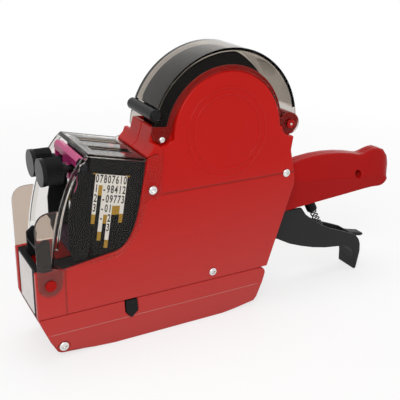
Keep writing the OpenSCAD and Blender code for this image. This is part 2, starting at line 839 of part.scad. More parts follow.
module knob() {
  barrel_x = knob_front_x + knob_cap;
  neck_x = barrel_x + knob_barrel;
  color("black") difference() {
    union() {
      bar_x([knob_y, knob_z], knob_r, knob_front_x, barrel_x);
      along(barrel_x, neck_x) polygon(ribbed(knob_r - 0.2, 0.6, knob_ribs));
      bar_x([knob_y, knob_z], knob_r / 2, neck_x, neck_x + knob_neck);
    }
    bar_x([knob_y, knob_z], pin_r + run_fit, knob_front_x + knob_blind, 0);
  }
}

module left_knob() {
  mirrored() knob();
}

module right_knob() {
  knob();
}

module selector_shaft() {
  pinion_x = pointer_x - 3.6;
  color("silver") {
    bar_x([knob_y, knob_z], pin_r, knob_front_x + knob_blind, pointer_x + 1.5);
    difference() {
      bar_x([knob_y, knob_z], pinion_r, pinion_x, pinion_x + 1.8);
      for (a = [0 : 36 : 324])
        translate([pinion_x - 1, knob_y, knob_z]) rotate([a, 0, 0]) translate([0, -0.4, pinion_r - 0.8])
          cube([4, 0.8, 2]);
    }
  }
}

module left_selector_shaft() {
  mirrored() selector_shaft();
}

module right_selector_shaft() {
  selector_shaft();
}

module pointer() {
  color("red") difference() {
    union() {
      bar_x([knob_y, knob_z], pin_r + 1.2, pointer_x - 1, pointer_x + 1);
      translate([pointer_x - 1, knob_y - 1, knob_z]) cube([2, 2, head_z(pointer_x) - knob_z + 0.3]);
    }
    bar_x([knob_y, knob_z], pin_r + run_fit, pointer_x - 2, pointer_x + 2);
  }
}

module left_pointer() {
  mirrored() pointer();
}

module right_pointer() {
  pointer();
}

// Ink roller on its swinging arm

ink_leg_y = head_half_w + 0.2;
ink_leg_t = 1.6;
ink_leg_x = [-50.6, -46];
ink_cheek_x = [-56, -44.6];

module ink_arm() {
  color("mediumvioletred") difference() {
    union() {
      both_sides() across(-ink_leg_y, -ink_leg_y + ink_leg_t)
        polygon([[ink_roller_at[0] - 4.4, 56.5], [ink_roller_at[0] + 2.6, 56.5], [ink_cheek_x[1], 66],
          [ink_cheek_x[1], 104], [ink_leg_x[1], 106], [ink_leg_x[1], 110.5], [-49, 111.5],
          [ink_leg_x[0], 110],
          [ink_leg_x[0], 98], [-54.4, 88], [ink_cheek_x[0], 80], [ink_cheek_x[0], 64]]);
      across(-ink_leg_y, ink_leg_y)
        polygon([[ink_leg_x[0], knob_z + 3], [ink_leg_x[1], knob_z + 3], [ink_leg_x[1], 110.5], [-49, 111.5],
          [ink_leg_x[0], 110]]);
      across(-4.5, 4.5) translate([ink_leg_x[0], knob_z - 7]) square([3, 12]);
    }
    bar_y(ink_pivot, pin_r + run_fit, -far, -ink_leg_y + ink_leg_t + 0.5);
    bar_y(ink_pivot, pin_r + run_fit, ink_leg_y - ink_leg_t - 0.5, far);
    bar_y(ink_roller_at, thin_pin_r + run_fit, -far, far);
  }
}

module ink_arm_pins() {
  color("silver") both_sides() bar_y(ink_pivot, pin_r, -ink_pin_y, -ink_leg_y + ink_leg_t + 0.2);
}

module ink_roller() {
  half_w = ink_leg_y - ink_leg_t - gap;
  color("purple") difference() {
    bar_y(ink_roller_at, ink_r, -half_w, half_w);
    bar_y(ink_roller_at, thin_pin_r + run_fit, -far, far);
  }
}

module ink_roller_axle() {
  color("silver") bar_y(ink_roller_at, thin_pin_r, -ink_leg_y, ink_leg_y);
}

// Label path

module platen() {
  half_w = plate_y - 0.1;
  color("silver") translate([-60, -half_w, platen_top - platen_t])
    cube([48, 2 * half_w, platen_t]);
}

module peel_plate() {
  half_w = plate_y - 0.6;
  color("silver") across(-half_w, half_w)
    polygon([[-58, platen_top], [-58, platen_top + peel_t], [-60.5, platen_top + peel_t], [-70.6, 62.6],
      [-71.2, 62.2], [-61, platen_top]]);
}

module feed_wheel() {
  half_w = plate_y - gap;
  color("black") difference() {
    bar_y(feed_at, feed_r, -half_w, half_w);
    for (i = [0 : 11])
      translate([feed_at[0], 0, feed_at[1]]) rotate([0, i * 30, 0]) translate([feed_r - 0.6, -far, -0.5])
        cube([2, 2 * far, 1]);
    bar_y(feed_at, pin_r + run_fit, -far, far);
  }
}

module feed_axle() {
  color("silver") bar_y(feed_at, pin_r, -frame_half_w, frame_half_w);
}

module front_plate() {
  half_w = front_return_y - 0.2;
  color([0.12, 0.12, 0.12]) difference() {
    across(-half_w, half_w)
      polygon([[plate_front_x, plate_foot_z], [plate_front_x + 2, plate_foot_z],
        [plate_front_x + 2, sill_z + 0.5 - ledge_t], [-62.5, sill_z + 0.5 - ledge_t], [-62.5, sill_z + 0.5],
        [plate_front_x, sill_z + 0.5]]);
    across(-frame_half_w - gap, frame_half_w + gap) translate([plate_front_x + 3, 40]) square([40, 40]);
  }
}

module front_label() {
  near_margin = 5.2;
  far_margin = 2.8;
  color("white") across(near_margin - front_return_y, front_return_y - far_margin)
    translate([plate_front_x - label_t, plate_foot_z + 2]) square([label_t, sill_z - plate_foot_z - 3]);
}

// Bottom cover

function tray_outline() = concat([[front_x + 0.2, tray_top], [-72.2, 20], [-68.8, 11.6], [-64.8, 4], [-44, 1],
  [-32, 0], [38, 0], [46, 1], [59.8, 3.6], [61.6, 6.6], [63.4, 15], [65, 21]],
  arc(tray_hinge, hinge_barrel_r, -5, 90, 6), [[tray_hinge[0] - 2.6, tray_top]]);

function tray_hollow() =
  let (p = inset(tray_outline(), wall), n = len(p))
  concat([p[0] + [0, 10]], [for (i = [1 : n - 2]) p[i]], [p[n - 1] + [0, 10]]);

module tray_section(d) {
  x0 = front_x - 1;
  along(x0, far + 20) polygon([[base_half_w - d, -1], [body_half_w - d, keel_z], [body_half_w - d, far],
    [d - body_half_w, far], [d - body_half_w, keel_z], [d - base_half_w, -1]]);
}

module bottom_cover() {
  color("indianred") difference() {
    union() {
      difference() {
        intersection() {
          across(-far, far) polygon(tray_outline());
          tray_section(0);
        }
        intersection() {
          across(-far, far) polygon(tray_hollow());
          tray_section(wall);
        }
      }
      both_sides() {
        bar_y(tray_hinge, hinge_barrel_r - 0.4, -body_inner_y - 0.5, -frame_half_w - 2 * gap);
        across(-bracket_y - bracket_t, -bracket_y)
          translate([pinch_at[0] - bracket_half_x, wall / 2])
            square([2 * bracket_half_x, pinch_at[1] + thin_pin_r + 0.8 - wall / 2]);
      }
    }
    translate([tray_hinge[0] - 5, -frame_half_w - 2 * gap, tray_hinge[1] - 5])
      cube([20, 2 * (frame_half_w + 2 * gap), 20]);
    translate([front_x - 1, -front_return_y, plate_foot_z - 2 * gap]) cube([8, 2 * front_return_y, 20]);
    bar_y(tray_hinge, pin_r + run_fit, -hinge_pin_y - seam, hinge_pin_y + seam);
    bar_y(pinch_at, thin_pin_r + run_fit, -bracket_y - bracket_t - 1, bracket_y + bracket_t + 1);
    bar_y(tie_pin_at, thin_pin_r + run_fit, -far, far);
    both_sides() {
      bar_y(tie_pin_at, 3.4, -far, -base_half_w - 0.7);
      across(-far, -bracket_y - bracket_t - 2) translate(latch_at) polygon(inset(latch_outline, -gap));
    }
  }
}

module bottom_hinge_pin() {
  color("silver") bar_y(tray_hinge, pin_r, -hinge_pin_y, hinge_pin_y);
}

module tray_tie_pin() {
  head_y = base_half_w + 0.75;
  color("silver") {
    bar_y(tie_pin_at, thin_pin_r, -head_y, head_y);
    both_sides() bar_y(tie_pin_at, 3.2, -head_y - 1.2, -head_y);
  }
}

module pinch_roller() {
  color("dimgray") difference() {
    bar_y(pinch_at, pinch_r, -pinch_half_w, pinch_half_w);
    bar_y(pinch_at, thin_pin_r + run_fit, -far, far);
  }
}

module pinch_axle() {
  color("silver") bar_y(pinch_at, thin_pin_r, -bracket_y - bracket_t, bracket_y + bracket_t);
}

module latch() {
  inner_y = bracket_y + bracket_t + gap + latch_travel;
  color("black") {
    across(-body_half_w - latch_proud, -inner_y) translate(latch_at) polygon(latch_outline);
    across(-body_inner_y + 1, -inner_y - 0.6) translate(latch_at) polygon(inset(latch_outline, -1.2));
  }
}

module left_latch() {
  latch();
}

module right_latch() {
  mirrored() latch();
}

// Front guard

function guard_outline() =
  let (edge = [for (p = hood_front_edge()) if (p[1] < 84) p - [0.5, 0]])
  concat(
    arc(guard_pivot, 6.4, 180, 360, 12),
    arc(guard_pivot, guard_swing_r, 42, 86, 5),
    [for (i = [len(edge) - 1 : -1 : 0]) edge[i]],
    [[-61.9, 87.2]],
    curve([-67, 87.2], [-71.5, 87], [-74.4, 84], [-74.4, 79], 5),
    [[-74.4, 79], [-74.2, 50]]);

module guard_wing() {
  color([0.4, 0.36, 0.33, 0.5]) difference() {
    across(-hood_half_w, -hood_inner_y) polygon(guard_outline());
    bar_y(guard_pivot, shaft_r + run_fit, -far, 0);
  }
}

module left_guard() {
  guard_wing();
}

module right_guard() {
  mirrored() guard_wing();
}

module guard_shaft() {
  color("firebrick") bar_y(guard_pivot, shaft_r, -hood_half_w - 0.3, hood_half_w + 0.3);
}

left_side_cover();
right_side_cover();
left_frame_plate();
right_frame_plate();
frame_spacers();
chamber_floor();
label_axle();
label_hub();
label_cover();
thumb_bar();
cover_pivots();
cover_studs();
head_cover();
head_cover_screws();
body_screws();
handle_left();
handle_right();
handle_screw();
trigger();
trigger_shaft();
drive_pin();
trigger_spring();
spring_cup();
print_head();
type_bands();
band_rollers();
column_charts();
guide_rods();
left_knob();
right_knob();
left_selector_shaft();
right_selector_shaft();
left_pointer();
right_pointer();
ink_arm();
ink_arm_pins();
ink_roller();
ink_roller_axle();
platen();
peel_plate();
feed_wheel();
feed_axle();
front_plate();
front_label();
bottom_cover();
bottom_hinge_pin();
tray_tie_pin();
pinch_roller();
pinch_axle();
left_latch();
right_latch();
left_guard();
right_guard();
guard_shaft();
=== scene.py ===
"""Looks of a hand price labeler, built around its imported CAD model."""
import json
import math

import bmesh
import bpy
from bpy.props import FloatProperty, IntProperty, PointerProperty, StringProperty
from mathutils import Euler, Matrix, Vector


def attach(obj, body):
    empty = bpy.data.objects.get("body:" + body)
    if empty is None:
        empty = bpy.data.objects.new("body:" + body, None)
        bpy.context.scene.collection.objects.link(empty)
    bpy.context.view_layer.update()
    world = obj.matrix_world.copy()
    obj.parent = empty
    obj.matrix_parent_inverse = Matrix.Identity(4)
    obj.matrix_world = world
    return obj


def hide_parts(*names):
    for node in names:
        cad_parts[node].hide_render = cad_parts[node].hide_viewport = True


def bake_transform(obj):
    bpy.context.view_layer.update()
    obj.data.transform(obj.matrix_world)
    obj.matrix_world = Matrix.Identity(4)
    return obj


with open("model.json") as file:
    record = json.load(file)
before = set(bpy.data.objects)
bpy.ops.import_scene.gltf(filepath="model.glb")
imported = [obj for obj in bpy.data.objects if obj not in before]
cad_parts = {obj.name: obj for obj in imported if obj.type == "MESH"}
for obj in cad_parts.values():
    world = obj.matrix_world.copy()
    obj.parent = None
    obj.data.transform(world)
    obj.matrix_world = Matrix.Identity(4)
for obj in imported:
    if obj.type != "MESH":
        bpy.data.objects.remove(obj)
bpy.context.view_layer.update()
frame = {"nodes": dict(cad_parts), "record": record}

bl_info = {
    "name": "Price labeler",
    "version": (1, 0, 0),
    "blender": (4, 5, 0),
    "location": "View3D > Sidebar > Labeler",
    "description": "Dresses a hand price labeler and sets its stage",
    "category": "Object",
}

MM = 0.001
BODY_OF = {n: b for b, names in frame["record"]["behaviour"]["bodies"].items() for n in names}

# Places that the CAD model gives, in millimetres
BODY_HALF_W = 19.5
CREASE_Z = 86.0
FACE_LEAN = 0.1012
CHART_Y = 17.0
RING_AT = (35.9, 114.4)
SPRING_LOW = (127.0, 24.5)
SPRING_HIGH = (107.6, 57.7)
HOOD_HALF_W = 21.2
INK_CARRIER_Z = 94.0
INK_PLATE_Y = 16.8

# Painted lines on the red mouldings, each as colour, axis across, place, half width, axis along, start and
# end: the two dark ones are painted shade along a crease each, the pale one a painted highlight along the
# keel's edge
SHELL_PAINTED_CREASES = (
    ("8e1a12", "Z", CREASE_Z, 1.0, "X", -8, 84),
    ("962a24", "X", -59.6, 0.9, "Z", 25, 58),
    ("cc8079", "Z", 16.6, 0.4, "X", -71, 62))
CREASE_FADE = 5
CREASE_DEPTH = 0.25
# Heights between which the red of the mouldings goes over into its paler tone, a painted reflection of the
# white floor near the base
FLOOR_REFLECTION_FULL_Z, FULL_RED_Z = 10, 95
# Gloss changes this many times as fast over a surface as tone does
RUB_PER_DRIFT = 4

# Smoked polycarbonate: size of its wear marks and flow lines in millimetres, and what it does to light
WEAR_MM, FLOW_MM, FLOW_DEPTH_MM = 9, 14, 0.012
CLEAR_ROUGHNESS = (0.015, 0.05)
POLYCARBONATE_IOR = 1.45
COVER_MIRROR = 0.15
LAMP_LIGHT_THROUGH = 0.92
LEAST_LIGHT = 0.01
DEEPEST_TINT = 0.8

# Rounding on the edges that have a size of their own
KNOB_RIB_ROUND = 0.06 * MM
LABEL_ROUND = 0.05 * MM
FINE_ROUND = 0.1 * MM
PIN_ROUND = 0.15 * MM
POINTER_ROUND = 0.2 * MM
TRIGGER_ROUND = 0.5 * MM
# What counts as one point, one flat, a crease and a large flat in a CAD mesh
WELD = 0.02 * MM
FLAT_TURN = math.radians(0.5)
CREASE_TURN = math.radians(2.5)
LARGE_FLAT = 60 * MM * MM
# Steps round a moulded ring, its bead, a curl of the spring and its wire
RING_STEPS, BEAD_STEPS, CURL_STEPS, WIRE_STEPS = 128, 14, 28, 10

# Pan head: profile as shares of its radius and height, and its cross recess as shares of the radius
PAN_PROFILE = ((1.0, 0.0), (1.0, 0.42), (0.94, 0.68), (0.8, 0.88), (0.55, 1.0), (0.25, 1.04))
PAN_HEIGHT = 0.5
PAN_SIDES = 40
PAN_SHARP = math.radians(35)
CROSS_ARM, CROSS_BLADE, CROSS_TAPER, CROSS_DEPTH = 1.25, 0.4, 0.7, 1.2
HEAD_SINK = 0.1
# Rows of pan heads: piece, body, node that it stands for, scale, and spots as (x, y, z, spin)
SCREW_ROWS = (
    ("body_screw_heads", "frame", "body_screws", 1.0, (
        (28, -BODY_HALF_W, 32.4, 20), (75, -BODY_HALF_W, CREASE_Z, 55),
        (28, BODY_HALF_W, 32.4, 65), (75, BODY_HALF_W, CREASE_Z, 5))),
    ("hood_screw_heads", "frame", "head_cover_screws", 1.0, (
        (-11.2, HEAD_SINK - HOOD_HALF_W, 90, 35), (-11.2, HOOD_HALF_W - HEAD_SINK, 90, 70))),
    ("handle_screw_head", "frame", "handle_screw", 1.0, ((139.8, -5, 72, 40),)),
    ("lid_stud_heads", "label_cover", "cover_studs", 0.72, (
        (-2.9, -14.5, 114.3, 25), (-2.9, 14.5, 114.3, 60))),
    ("lid_pivot_caps", "frame", None, 0.3, ((79, -15.4, 113.7, 10), (79, 15.4, 113.7, 40))),
    ("tie_pin_heads", "bottom_cover", "tray_tie_pin", 1.15, (
        (-61.6, -17.2, 7.3, 15), (-61.6, 17.2, 7.3, 50))))

# Charts on the print head, in the side view: top corner, and the directions along and down
CHART_TOP = (-40.8, 102.5)
CHART_ALONG = Vector((0.974, -0.227))
CHART_DOWN = Vector((-0.142, -0.99))
CHART_W = 17.5
FILM_T = 0.25
STRIP_GAP, GOLD_GAP = 0.03, 0.1
TICK_OUT, TICK_T = 0.6, 0.6
# White and gold length of each column from the chart's top, and the figures of each row
CHART_COLUMNS = (
    (21.7, 5.2), (5.8, 5.5), (31.0, 4.9), (21.5, 4.9),
    (35.4, 4.5), (16.4, 4.9), (16.2, 4.9), (20.6, 4.9))
CHART_ROWS = (
    "07807610", "19-98412", "25-09773", "38-01-54", "4.-12.65", "5.-23.76", "6.-34.87",
    "7.-45.98", "8.-56.09", "9.-67.10", "0.-78.21", "1.-89.32", "2.-90.43")
# Numerals as shares of their height: row pitch, capital height of the font, thickening, and narrowing
ROW_PITCH, CAP_SHARE, STROKE_GAIN, NARROWING = 1.27, 0.7, 0.03, 0.6
INK_T = 0.02

# Stage, in metres and watts: floor, its white glow by distance, the room's own light, and the lamps
FLOOR_REACH = 4.0
FLOOR_DROP = 0.05 * MM
GLOW_NEAR, GLOW_FAR, GLOW_LEAST = 0.2, 0.55, 0.7
ROOM_LIGHT = 0.28
LAMPS = (
    ("key", (-0.35, -0.55, 0.6), 0.4, 3.6),
    ("top", (0.1, 0.1, 1.2), 0.7, 6.0),
    ("fill", (0.9, -0.5, 0.5), 0.6, 1.4),
    ("card", (0.5, 1.0, 0.25), 0.9, 1.9))
LAMP_AIM = Vector((0.03, 0.0, 0.07))
# Camera of the photograph: place, aim, focal length and sensor in millimetres, roll in degrees
CAMERA_AT = (-156.1, -325.5, 223.6)
CAMERA_AIM = (29.25, 0, 69.57)
CAMERA_ROLL = 1.81
FOCAL_LENGTH, SENSOR_W = 62.66, 36.0


class LabelerSizes(bpy.types.PropertyGroup):
    """Sizes of the finish on the labeler's pieces"""
    shell_round: FloatProperty(
        name="Shell edge", description="Rounding on the edges of the red mouldings",
        default=0.7 * MM, unit="LENGTH")
    clear_round: FloatProperty(
        name="Clear edge", description="Rounding on the edges of the smoked covers",
        default=0.6 * MM, unit="LENGTH")
    small_round: FloatProperty(
        name="Small edge", description="Rounding on the edges of small pieces",
        default=0.25 * MM, unit="LENGTH")
    ring_outer: FloatProperty(
        name="Outer ring", description="Radius of the outer moulded ring on each side",
        default=24.4 * MM, unit="LENGTH")
    ring_inner: FloatProperty(
        name="Inner ring", description="Radius of the inner moulded ring on each side",
        default=20.6 * MM, unit="LENGTH")
    ring_width: FloatProperty(
        name="Ring width", description="Width of a moulded ring",
        default=1.3 * MM, unit="LENGTH")
    ring_height: FloatProperty(
        name="Ring height", description="Height of a moulded ring over the side face",
        default=0.3 * MM, unit="LENGTH")
    numeral: FloatProperty(
        name="Numeral", description="Height of the numerals on the charts",
        default=4.1 * MM, unit="LENGTH")
    screw_head: FloatProperty(
        name="Screw head", description="Radius of a pan head",
        default=2.4 * MM, unit="LENGTH")
    spring_wire: FloatProperty(
        name="Spring wire", description="Diameter of the return spring's wire",
        default=0.9 * MM, unit="LENGTH")
    spring_coil: FloatProperty(
        name="Spring coil", description="Radius of the return spring at the middle of its wire",
        default=1.95 * MM, unit="LENGTH")
    spring_curls: IntProperty(
        name="Spring curls", description="Number of curls in the return spring", default=12)


class LabelerColours(bpy.types.PropertyGroup):
    """Colours of the labeler's materials, as sRGB hex codes"""
    shell: StringProperty(name="Shell", description="Red of the body mouldings", default="b80e06")
    # Paler red towards the base: a painted reflection of the white floor, not wear
    shell_floor_reflection: StringProperty(name="Shell floor reflection", description="Paler red near the base", default="b83b37")
    grip: StringProperty(name="Grip", description="Red of the handle", default="a0100e")
    smoke: StringProperty(name="Smoke", description="Tint of the wings", default="b8a494")
    lid_smoke: StringProperty(
        name="Lid smoke", description="Tint of the lid and the hood", default="b2aba3")
    black: StringProperty(name="Black", description="Black of the moulded works", default="19191a")
    charcoal: StringProperty(name="Charcoal", description="Dark grey of the trigger", default="232324")
    steel: StringProperty(name="Steel", description="Nickel-plated steel", default="dedddb")
    magenta: StringProperty(name="Magenta", description="Ink carrier", default="b22a6c")
    gold: StringProperty(name="Gold", description="Gold print on the charts", default="b8902a")
    paper: StringProperty(name="Paper", description="Labels and charts", default="f3f2ee")


def linear(code):
    """Linear colour of an sRGB hex code."""
    parts = [int(code[i:i + 2], 16) / 255 for i in (0, 2, 4)]
    return [p / 12.92 if p <= 0.04045 else ((p + 0.055) / 1.055) ** 2.4 for p in parts] + [1.0]


def shaded(code, factor):
    """Linear colour of a hex code, made darker or lighter."""
    return [min(1.0, p * factor) for p in linear(code)[:3]] + [1.0]


def add(tree, kind, values=None, links=None, **settings):
    """Adds a node with its settings, its constant sockets and what is linked to it."""
    node = tree.nodes.new(kind)
    for name, value in settings.items():
        setattr(node, name, value)
    for key, value in (values or {}).items():
        node.inputs[key].default_value = value
    for key, socket in (links or {}).items():
        tree.links.new(socket, node.inputs[key])
    return node


def point(x, y, z):
    """Place in metres, from millimetres."""
    return Vector((x, y, z)) * MM


def new_tree(name):
    """New material, with its empty node tree."""
    material = bpy.data.materials.new(name)
    material.use_nodes = True
    material.node_tree.nodes.clear()
    return material, material.node_tree


def crease_line(tree, where, across, at, half, along, low, high):
    """Mask of a soft line at a place on one axis, between two places on another, in millimetres."""
    parts = add(tree, "ShaderNodeSeparateXYZ", links={"Vector": where}).outputs
    reach = (high - low) / 2
    masks = []
    for axis, middle, start, end in ((across, at, 0.0, half),
                                     (along, (low + high) / 2, reach - CREASE_FADE, reach)):
        off = add(tree, "ShaderNodeMath", {1: middle * MM}, {0: parts[axis]}, operation="SUBTRACT")
        off = add(tree, "ShaderNodeMath", links={0: off.outputs[0]}, operation="ABSOLUTE")
        masks.append(add(tree, "ShaderNodeMapRange", {
            "From Min": start * MM, "From Max": end * MM, "To Min": 1.0, "To Max": 0.0},
            {"Value": off.outputs[0]}, interpolation_type="SMOOTHSTEP").outputs["Result"])
    return add(tree, "ShaderNodeMath", links={0: masks[0], 1: masks[1]}, operation="MULTIPLY").outputs[0]


def moulded(name, code, roughness, other=None, drift_mm=30, drift=0.08, grit_mm=1.6, grit=0.008,
            spread=0.06, painted_creases=(), floor_reflection_code=None, **sockets):
    """A moulded or plated surface: drift of tone, gloss uneven from handling, fine skin, painted shade and
    highlight lines, and a painted floor reflection towards the base.
    """
    material, tree = new_tree(name)
    where = add(tree, "ShaderNodeTexCoord").outputs["Object"]
    cloud = add(tree, "ShaderNodeTexNoise", {"Scale": 1 / (drift_mm * MM), "Detail": 3.0},
                {"Vector": where})
    tone = add(tree, "ShaderNodeMix", {6: shaded(code, 1 - drift), 7: shaded(other or code, 1 + drift)},
               {0: cloud.outputs["Fac"]}, data_type="RGBA").outputs[2]
    rub = add(tree, "ShaderNodeTexNoise", {
        "Scale": RUB_PER_DRIFT / (drift_mm * MM), "Detail": 4.0, "Roughness": 0.6}, {"Vector": where})
    gloss = add(tree, "ShaderNodeMapRange", {"To Min": roughness - spread, "To Max": roughness + spread},
                {"Value": rub.outputs["Fac"]})
    skin = add(tree, "ShaderNodeTexNoise", {"Scale": 1 / (grit_mm * MM), "Detail": 2.0}, {"Vector": where})
    bump = add(tree, "ShaderNodeBump", {"Strength": 1.0, "Distance": grit * MM},
               {"Height": skin.outputs["Fac"]})
    if floor_reflection_code:
        # Paler towards the base: a painted reflection of the white floor
        height = add(tree, "ShaderNodeSeparateXYZ", links={"Vector": where}).outputs["Z"]
        low = add(tree, "ShaderNodeMapRange", {
            "From Min": FLOOR_REFLECTION_FULL_Z * MM, "From Max": FULL_RED_Z * MM, "To Min": 1.0, "To Max": 0.0},
            {"Value": height}).outputs["Result"]
        tone = add(tree, "ShaderNodeMix", {7: linear(floor_reflection_code)}, {0: low, 6: tone},
                   data_type="RGBA").outputs[2]
    for crease_paint_code, *crease in painted_creases:
        # Each line darkens or lightens the tone as painted shade or a painted highlight, over a real
        # groove in the bump
        line = crease_line(tree, where, *crease)
        tone = add(tree, "ShaderNodeMix", {7: linear(crease_paint_code)}, {0: line, 6: tone},
                   data_type="RGBA").outputs[2]
        bump = add(tree, "ShaderNodeBump", {"Strength": 1.0, "Distance": CREASE_DEPTH * MM},
                   {"Height": line, "Normal": bump.outputs["Normal"]}, invert=True)
    shader = add(tree, "ShaderNodeBsdfPrincipled", sockets, {
        "Base Color": tone, "Roughness": gloss.outputs["Result"], "Normal": bump.outputs["Normal"]})
    add(tree, "ShaderNodeOutputMaterial", links={"Surface": shader.outputs["BSDF"]})
    return material


def smoked(name, code, wall_mm, haze):
    """Clear moulded polycarbonate, tinted in the mass and hazed by wear; lamps shine through it."""
    material, tree = new_tree(name)
    where = add(tree, "ShaderNodeTexCoord").outputs["Object"]
    wear = add(tree, "ShaderNodeTexNoise", {"Scale": 1 / (WEAR_MM * MM), "Detail": 4.0}, {"Vector": where})
    gloss = add(tree, "ShaderNodeMapRange", {"To Min": CLEAR_ROUGHNESS[0], "To Max": CLEAR_ROUGHNESS[1]},
                {"Value": wear.outputs["Fac"]})
    flow = add(tree, "ShaderNodeTexNoise", {"Scale": 1 / (FLOW_MM * MM), "Detail": 1.0}, {"Vector": where})
    bump = add(tree, "ShaderNodeBump", {"Strength": 1.0, "Distance": FLOW_DEPTH_MM * MM},
               {"Height": flow.outputs["Fac"]})
    shader = add(tree, "ShaderNodeBsdfPrincipled", {
        "Base Color": (1.0, 1.0, 1.0, 1.0), "Transmission Weight": 1.0 - haze, "IOR": POLYCARBONATE_IOR,
        "Specular Tint": (COVER_MIRROR, COVER_MIRROR, COVER_MIRROR, 1.0)},
        {"Roughness": gloss.outputs["Result"], "Normal": bump.outputs["Normal"]})
    loss = [-math.log(max(c, LEAST_LIGHT)) / (wall_mm * MM) for c in linear(code)[:3]]
    density = max(loss) / DEEPEST_TINT
    mass = add(tree, "ShaderNodeVolumeAbsorption", {
        "Color": [1 - v / density for v in loss] + [1.0], "Density": density})
    lit = add(tree, "ShaderNodeBsdfTransparent", {
        "Color": (LAMP_LIGHT_THROUGH, LAMP_LIGHT_THROUGH, LAMP_LIGHT_THROUGH, 1.0)})
    rays = add(tree, "ShaderNodeLightPath").outputs
    surface = add(tree, "ShaderNodeMixShader", links={
        0: rays["Is Shadow Ray"], 1: shader.outputs["BSDF"], 2: lit.outputs["BSDF"]})
    add(tree, "ShaderNodeOutputMaterial", links={
        "Surface": surface.outputs["Shader"], "Volume": mass.outputs["Volume"]})
    return material


def finishes(colours):
    """Every material of the labeler by its name, each made once."""
    made = {m.name: m for m in bpy.data.materials}
    # Low specular levels keep the white background from veiling the red and black mouldings
    wanted = {
        # Gloss injection-moulded ABS: red with soft, uneven highlights, paler towards the base as a
        # painted reflection of the white floor, with painted shade and a painted highlight along its
        # crease lines
        "gloss_abs_shell": lambda n: moulded(
            n, colours.shell, 0.3, drift=0.05, painted_creases=SHELL_PAINTED_CREASES, floor_reflection_code=colours.shell_floor_reflection,
            **{"Specular IOR Level": 0.18}),
        # The same ABS, polished by the hand: deeper and with sharper highlights
        "polished_abs_grip": lambda n: moulded(
            n, colours.grip, 0.14, drift=0.07, spread=0.05, **{"Specular IOR Level": 0.08}),
        # Smoked polycarbonate in three depths of tint: dark edges, and reflections at a slant
        "smoked_polycarbonate_lid": lambda n: smoked(n, colours.lid_smoke, 2.2, 0.0),
        "smoked_polycarbonate_wing": lambda n: smoked(n, colours.smoke, 2.0, 0.03),
        "smoked_polycarbonate_hood": lambda n: smoked(n, colours.lid_smoke, 6.0, 0.0),
        # Matt moulded ABS: near black, with a spark-eroded skin drawn coarse enough to show
        "matt_abs_black": lambda n: moulded(
            n, colours.black, 0.68, grit_mm=0.7, grit=0.02, **{"Specular IOR Level": 0.12}),
        # Gloss moulded ABS: black with crisp highlights
        "gloss_abs_black": lambda n: moulded(
            n, colours.black, 0.26, grit=0.004, **{"Specular IOR Level": 0.12}),
        # Glass-filled nylon: charcoal and dull, its flecks drawn coarse enough to show
        "filled_nylon_charcoal": lambda n: moulded(
            n, colours.charcoal, 0.48, drift=0.12, grit_mm=0.8, grit=0.02, **{"Specular IOR Level": 0.15}),
        # Nickel-plated steel: bright and a little clouded
        "nickel_plated_steel": lambda n: moulded(n, colours.steel, 0.2, drift=0.1, Metallic=1.0),
        # Blued sheet steel: nearly black, with a soft sheen
        "blued_sheet_steel": lambda n: moulded(n, "2b2b2e", 0.38, drift=0.2, drift_mm=12, Metallic=1.0),
        # Oiled spring wire: dark grey steel
        "oiled_spring_wire": lambda n: moulded(n, "4a4a4b", 0.35, drift=0.3, drift_mm=3, Metallic=1.0),
        # Translucent moulded acetal: magenta, glowing at thin places
        "dyed_acetal_magenta": lambda n: moulded(
            n, colours.magenta, 0.3, drift=0.1, **{"Subsurface Weight": 0.2, "Subsurface Scale": MM}),
        # Ink-soaked foam: dark, rough and open-pored
        "inked_foam": lambda n: moulded(n, "2a1024", 0.85, drift=0.35, drift_mm=2, grit_mm=0.8, grit=0.3),
        # Black rubber: dull grey-black
        "moulded_rubber": lambda n: moulded(n, "2b2a2a", 0.7, grit_mm=0.8, grit=0.03),
        # White moulded rubber type: dull, with stained patches
        "type_rubber_white": lambda n: moulded(n, "cfccc2", 0.65, drift=0.2, drift_mm=4),
        # Printed polyester film: white, gold and black under a satin coat
        "printed_film_white": lambda n: moulded(n, colours.paper, 0.4, drift=0.03, drift_mm=6),
        "printed_film_gold": lambda n: moulded(
            n, colours.gold, 0.35, drift=0.15, drift_mm=3, Metallic=0.35),
        "printed_film_black": lambda n: moulded(n, "161616", 0.45, drift=0.1),
        # Coated paper sticker: white, with faint grey and pink smudges
        "coated_paper_label": lambda n: moulded(
            n, colours.paper, 0.5, other="dccfcf", drift_mm=7, drift=0.03),
    }
    return {n: made.get(n) or make(n) for n, make in wanted.items()}


def look(name):
    """One of the labeler's materials."""
    return finishes(bpy.context.scene.labeler_colours)[name]


def sizes():
    """The sizes that the panel shows."""
    return bpy.context.scene.labeler_sizes


def link(name, mesh):
    """New object in the scene, made from a mesh or a curve."""
    piece = bpy.data.objects.new(name, mesh)
    bpy.context.scene.collection.objects.link(piece)
    return piece


def settle(piece):
    """Turns what the piece's modifiers make into its plain mesh."""
    seen = bpy.context.evaluated_depsgraph_get()
    mesh = bpy.data.meshes.new_from_object(piece.evaluated_get(seen))
    piece.modifiers.clear()
    piece.data = mesh
    mesh.name = piece.name
    return piece


def merged(node):
    """Mesh of a CAD node with its triangles joined to flats, and flats of many sides cut up evenly."""
    mesh = frame["nodes"][node].data.copy()
    shape = bmesh.new()
    shape.from_mesh(mesh)
    bmesh.ops.remove_doubles(shape, verts=shape.verts, dist=WELD)
    bmesh.ops.dissolve_limit(shape, angle_limit=FLAT_TURN, verts=shape.verts, edges=shape.edges)
    many = [f for f in shape.faces if len(f.verts) > 4]
    bmesh.ops.triangulate(shape, faces=many, ngon_method="BEAUTY")
    shape.to_mesh(mesh)
    shape.free()
    mesh.materials.clear()
    return mesh


